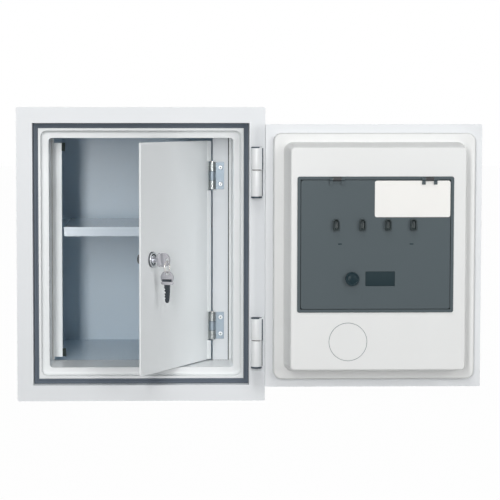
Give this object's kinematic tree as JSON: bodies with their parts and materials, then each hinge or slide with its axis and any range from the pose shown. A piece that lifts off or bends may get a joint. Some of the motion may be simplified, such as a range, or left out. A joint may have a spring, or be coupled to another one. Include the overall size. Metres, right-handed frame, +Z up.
{
  "type": "fireproof safe",
  "caption": "Small fireproof safe with a thick stepped door on lift-off hinges, a steel inner locker with shelf and keyed door, and a covered service tray with key hooks.",
  "frame": {"origin": "centre of the cabinet's bottom face, on the surface that it stands on", "axes": "+Z up, the cabinet's front faces -Y, +X to the right as seen from the front, towards the hinge side, along which the open door lies"},
  "size_m": [0.6582, 0.5371, 0.42],
  "materials": {
    "cabinet_paint": "fine textured powder coat",
    "locker_paint": "fine orange-peel powder coat",
    "liner_moulding": "satin moulded plastic",
    "graphite_seal": "matt swelling strip",
    "dark_panel": "fine moulded grain",
    "black_moulding": "satin black moulding",
    "key_rubber": "soft matt rubber",
    "cast_fill": "cast mineral fill",
    "nickel_plate": "bright nickel plate",
    "screw_zinc": "zinc plate",
    "bare_steel": "machined steel",
    "handle_metal": "satin nickel",
    "washer_brass": "turned brass",
    "cell_wrap": "printed sleeve, bare"
  },
  "bodies": {
    "cabinet": {"outer_shell": "cabinet_paint", "rear_panel": "cabinet_paint", "fire_fill": "cast_fill", "throat_liner": "liner_moulding", "door_seal": "graphite_seal", "strike_cups": "bare_steel", "locker_shell": "locker_paint", "latch_post": "locker_paint", "hinge_post": "locker_paint", "shelf": "locker_paint", "shelf_rails": "locker_paint", "cabinet_barrels": "cabinet_paint", "hinge_pins": "bare_steel", "hinge_washers": "washer_brass", "post_leaves": "nickel_plate", "butt_pins": "nickel_plate", "post_screws": "screw_zinc"},
    "main_door": {"door_skin": "cabinet_paint", "rim_strip": "cabinet_paint", "door_lining": "liner_moulding", "filler_plug": "liner_moulding", "door_fill": "cast_fill", "door_barrels": "cabinet_paint", "service_tray": "dark_panel", "bolt_sleeves": "bare_steel", "rack_guide": "bare_steel", "handle_rose": "handle_metal", "keypad_housing": "black_moulding", "keypad_membrane": "key_rubber", "lock_case": "black_moulding", "battery_holder": "black_moulding", "cells": "cell_wrap", "lid_clips": "black_moulding", "lid_pins": "screw_zinc", "lid_keeper": "screw_zinc"},
    "handle": {"lever": "handle_metal", "spindle": "bare_steel", "bolt_pinion": "bare_steel"},
    "boltwork": {"bolt_carriage": "bare_steel", "door_bolts": "bare_steel"},
    "cover": {"cover_lid": "dark_panel", "key_hooks": "dark_panel"},
    "lid_catch": {"catch_knob": "black_moulding", "catch_arm": "screw_zinc"},
    "inner_door": {"locker_door": "locker_paint", "door_leaves": "nickel_plate", "lock_barrel": "nickel_plate", "lock_nut": "nickel_plate"},
    "inner_lock": {"lock_plug": "nickel_plate", "lock_cam": "screw_zinc", "cam_screw": "screw_zinc"},
    "key": {"lock_key": "nickel_plate"},
    "ring": {"key_ring": "nickel_plate"},
    "second_key": {"spare_key": "nickel_plate"}
  },
  "joints": [
    {"name": "main_door_hinge", "type": "hinge", "parent": "cabinet", "child": "main_door", "pos_m": [0.1642, -0.224, 0.21], "axis": [0, 0, 1], "range_deg": [-180, 0]},
    {"name": "inner_door_hinge", "type": "hinge", "parent": "cabinet", "child": "inner_door", "pos_m": [0.1049, -0.1035, 0.21], "axis": [0, 0, 1], "range_deg": [-63, 40]},
    {"name": "handle_turn", "type": "hinge", "parent": "main_door", "child": "handle", "pos_m": [0.3634, -0.2115, 0.205], "axis": [0, 1, 0], "range_deg": [0, 90]},
    {"name": "bolt_throw", "type": "slide", "parent": "main_door", "child": "boltwork", "axis": [1, 0, 0], "range_m": [0, 0.0165]},
    {"name": "cover_swing", "type": "hinge", "parent": "main_door", "child": "cover", "pos_m": [0.3242, -0.3147, 0.32065], "axis": [-1, 0, 0], "range_deg": [0, 110]},
    {"name": "catch_turn", "type": "hinge", "parent": "cover", "child": "lid_catch", "pos_m": [0.2916, -0.3155, 0.1833], "axis": [0, 1, 0], "range_deg": [0, 90]},
    {"name": "key_turn", "type": "hinge", "parent": "inner_door", "child": "inner_lock", "pos_m": [0.01532, -0.26829, 0.207], "axis": [-0.891, 0.454, 0], "range_deg": [0, 90]},
    {"name": "key_withdraw", "type": "slide", "parent": "inner_lock", "child": "key", "axis": [0.891, -0.454, 0], "range_m": [0, 0.03]},
    {"name": "ring_swing", "type": "hinge", "parent": "key", "child": "ring", "pos_m": [0.03671, -0.27919, 0.2053], "axis": [-0.454, -0.891, 0], "range_deg": [-8, 70]},
    {"name": "second_key_swing", "type": "hinge", "parent": "ring", "child": "second_key", "pos_m": [0.03671, -0.27919, 0.1893], "axis": [-0.454, -0.891, 0], "range_deg": [-6, 40]}
  ],
  "couplings": [
    {"joint": "inner_door_hinge", "follows": "main_door_hinge", "ratio": 0.35},
    {"joint": "bolt_throw", "follows": "handle_turn", "m_per_rad": 0.0105}
  ]
}
